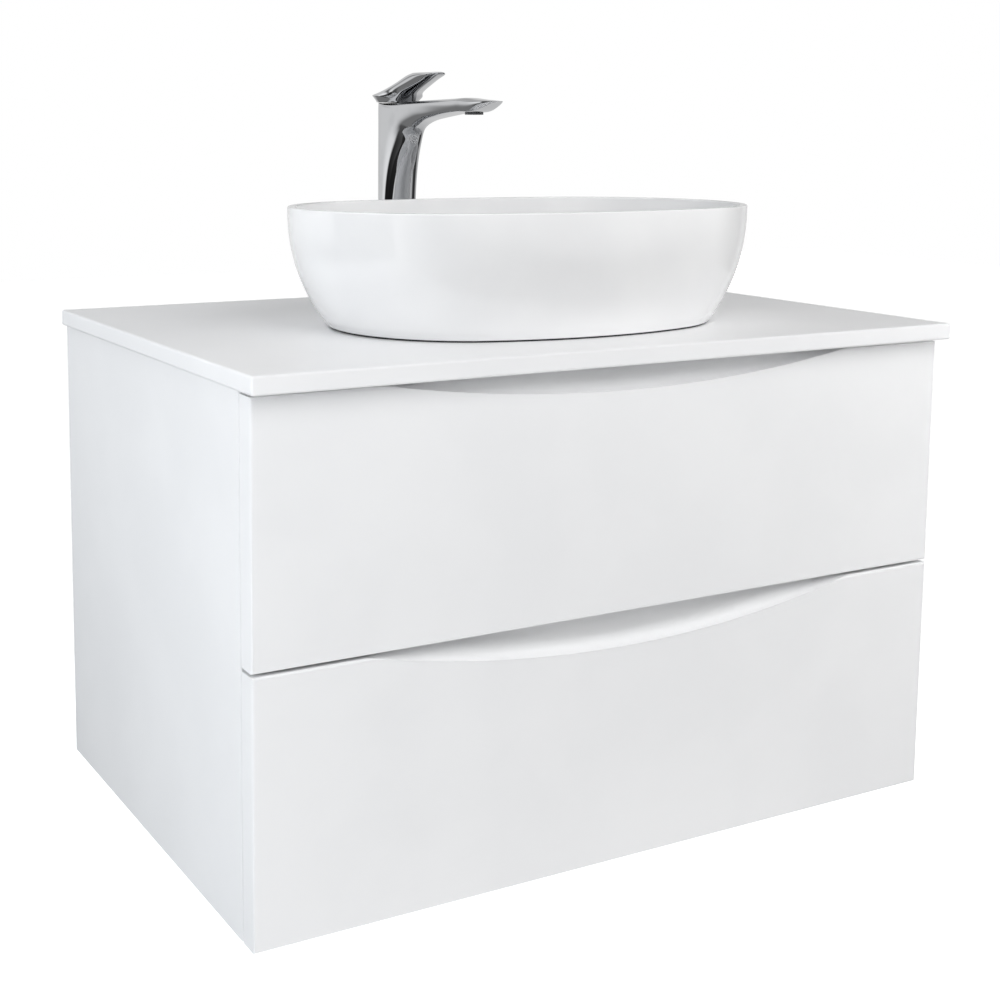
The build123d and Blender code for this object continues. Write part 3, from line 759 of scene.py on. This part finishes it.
def tap_body():
    """Column and spout in one casting."""
    rows = [
        column_row(1, 21),
        column_row(5, 21),
        column_row(60, 20),
        column_row(115, 23),
        column_row(150, 31),
        *SHOULDER_ROWS,
        spout_row(138, 204.2, 219.8, 17),
        spout_row(160, 205, 220.2, 16.9),
        spout_row(178, 205.4, 218.7, 15.7),
        spout_row(194, 209.4, 217.6, 12.9),
        spout_row(206, 213.2, 216.8, 8.9),
        spout_row(213, 215.3, 216.2, 4.2),
        spout_row(215, 215.8, 216, 0.9),
    ]
    rear_rim = ([7], WHOLE_HALF_RING[4:], 1.0)
    base_rim = ([0], WHOLE_HALF_RING, 1.0)
    top_edge = (range(7, 17), [4], 0.75)
    flank = (range(9, 14), [2], 0.35)
    made = tap_piece("tap_body_shown", rows, (rear_rim, base_rim, top_edge, flank))
    finish_piece(made, "tap_body")


def lever_row(front, rear, width):
    """A tilted oval section of the lever between its front and rear points, each (reach, height)."""
    made = []
    for turn in half_turns():
        share = (1 - math.cos(turn)) / 2
        reach, height = (f + share * (r - f) for f, r in zip(front, rear))
        made.append((reach, height, width * math.sin(turn)))
    return made


def skirt_row(radius):
    """A round section at the lever's lower edge."""
    return lever_row((radius, LEVER_BOTTOM), (-radius, LEVER_BOTTOM), radius)


def lever():
    """Lever: a round skirt over the cartridge, a sloping head and a flat blade."""
    pocket = skirt_row(LEVER_POCKET_RADIUS)
    slope = math.tan(LEVER_LIFT)
    rows = [
        [(reach, LEVER_POCKET_CEILING + max(0, -reach) * slope, width) for reach, _, width in pocket],
        pocket,
        skirt_row(LEVER_SKIRT_RADIUS),
        lever_row((28.5, 223), (-28, 226), 28),
        lever_row((37.5, 227), (-11, 231.5), 21.5),
        lever_row((56, 232.8), (19, 241), 17.5),
        lever_row((78, 239.7), (44, 248.6), 14.8),
        lever_row((89, 243.6), (72, 248.7), 12.5),
        lever_row((93.6, 245.6), (90, 248.7), 8),
        lever_row((95, 246.6), (94.6, 248.4), 3),
    ]
    bottom = ([1, 2], WHOLE_HALF_RING, 1.0)
    ceiling = ([0], WHOLE_HALF_RING, 1.0)
    brim = ([3], WHOLE_HALF_RING[2:], 0.7)
    crown = ([6], WHOLE_HALF_RING[5:], 0.6)
    made = tap_piece("lever_shown", rows, (bottom, ceiling, brim, crown))
    finish_piece(made, "lever")


MADE_HERE = {"basin": basin, "tap_body": tap_body, "lever": lever}
for node in nodes:
    if node in MADE_HERE:
        MADE_HERE[node]()
    else:
        smooth_copy(node)


# Studio
def floor():
    """A wide pale floor that glows, so that it stays white."""
    mesh = bpy.data.meshes.new("studio_floor")
    corners = [(sx * FLOOR_HALF, sy * FLOOR_HALF) for sx, sy in ((-1, -1), (1, -1), (1, 1), (-1, 1))]
    mesh.from_pydata([(x, y, FLOOR_Z) for x, y in corners], [], [(0, 1, 2, 3)])
    made = bpy.data.objects.new("studio_floor", mesh)
    bpy.context.scene.collection.objects.link(made)
    pale = Finish("pale floor").set(
        Base_Color=FLOOR_GREY,
        Roughness=FLOOR_ROUGHNESS,
        Emission_Color=FULL_WHITE,
        Emission_Strength=1.0,
    )
    mesh.materials.append(pale)
    made.visible_diffuse = False
    made.visible_glossy = False
    made.visible_shadow = False


def softbox(name, place, target, size, watts, colour):
    """A soft square light that faces a target, and isn't mirrored in the object."""
    light = bpy.data.lights.new(name, "AREA")
    light.size = size
    light.energy = watts
    light.color = colour
    made = bpy.data.objects.new(name, light)
    made.location = place
    made.rotation_euler = (Vector(target) - Vector(place)).to_track_quat("-Z", "Y").to_euler()
    made.visible_camera = False
    made.visible_glossy = False
    bpy.context.scene.collection.objects.link(made)


def studio_world():
    """White to the camera, and a grey ground, walls, upper ring and ceiling in reflections."""
    world = bpy.data.worlds.new("studio")
    world.use_nodes = True
    shading = Shading(world.node_tree)
    backdrop = shading.tree.nodes["Background"]
    toward = shading.node("ShaderNodeTexCoord", output="Generated")
    around = shading.node("ShaderNodeTexGradient", {"gradient_type": "RADIAL"}, {"Vector": toward})
    upward = shading.node("ShaderNodeSeparateXYZ", {}, {0: toward}, "Z")
    reflected = shading.ramp(around, STUDIO_GROUND)
    for rise, above in (
        (GROUND_RISE, shading.ramp(around, STUDIO_WALLS)),
        (UPPER_RISE, shading.ramp(around, STUDIO_UPPER)),
        (CEILING_RISE, CEILING_LEVEL),
    ):
        reflected = reflected + shading.band(upward, *rise) * (above - reflected)
    seen = shading.node("ShaderNodeLightPath", output="Is Camera Ray")
    glossy = shading.node("ShaderNodeLightPath", output="Is Glossy Ray")
    shading.put(backdrop.inputs["Color"], FULL_WHITE)
    shading.put(backdrop.inputs["Strength"], seen + glossy * reflected)
    bpy.context.scene.world = world


def camera():
    """The photograph's viewpoint."""
    ahead = Vector((math.sin(HEADING), math.cos(HEADING), 0)) * math.cos(DOWNWARD_TILT)
    ahead.z = -math.sin(DOWNWARD_TILT)
    level = Vector((math.cos(HEADING), -math.sin(HEADING), 0))
    upright = level.cross(ahead)
    across = level * math.cos(ROLL) + upright * math.sin(ROLL)
    above = upright * math.cos(ROLL) - level * math.sin(ROLL)
    lens = bpy.data.cameras.new("photo_camera")
    lens.lens = LENS
    lens.sensor_width = SENSOR_WIDTH
    lens.shift_x, lens.shift_y = SHIFT
    made = bpy.data.objects.new("photo_camera", lens)
    turned = Matrix((across, above, -ahead)).transposed().to_4x4()
    made.matrix_world = Matrix.Translation(EYE) @ turned
    bpy.context.scene.collection.objects.link(made)
    bpy.context.scene.camera = made


floor()
studio_world()
for light in SOFTBOXES:
    softbox(*light)
bpy.context.scene.view_settings.view_transform = "Standard"
camera()
